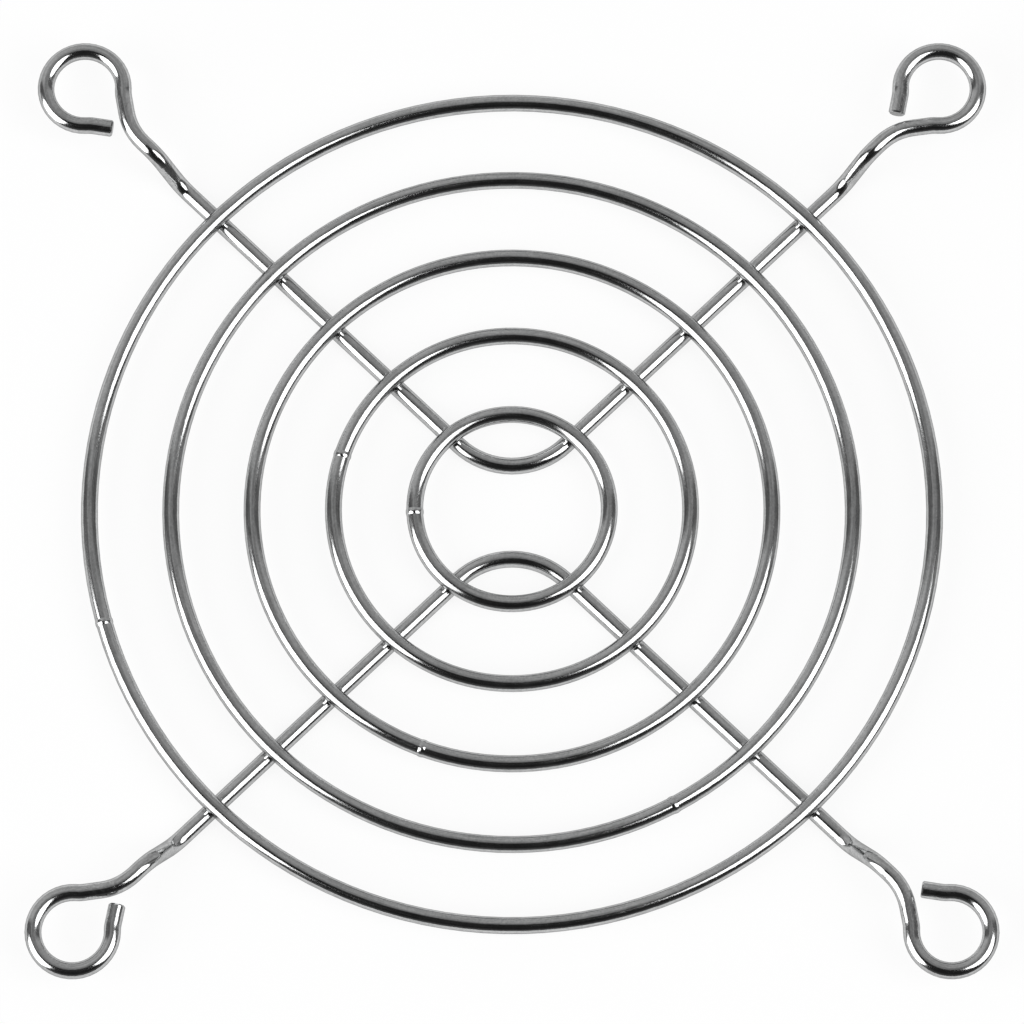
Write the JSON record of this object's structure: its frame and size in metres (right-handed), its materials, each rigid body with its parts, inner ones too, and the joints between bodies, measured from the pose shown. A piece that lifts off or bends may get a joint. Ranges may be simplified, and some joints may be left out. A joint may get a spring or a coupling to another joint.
{
  "type": "wire fan guard",
  "caption": "Round wire finger guard for a square axial fan: concentric rings welded to bent support wires that end in open screw eyes at the corners.",
  "frame": {"origin": "centre of the guard, on the plane that its support wires rest on", "axes": "+Z towards the fan, from the support wires through the rings to the screw eyes; X and Y along the sides of the square of screws, each support wire's apex pointing to the middle along Y"},
  "size_m": [0.0794, 0.0794, 0.0044],
  "materials": {
    "plated_wire": "bright polished plating"
  },
  "bodies": {
    "root": {"ring_1": "plated_wire", "ring_2": "plated_wire", "ring_3": "plated_wire", "ring_4": "plated_wire", "ring_5": "plated_wire", "support_wire_1": "plated_wire", "support_wire_2": "plated_wire"}
  },
  "joints": []
}
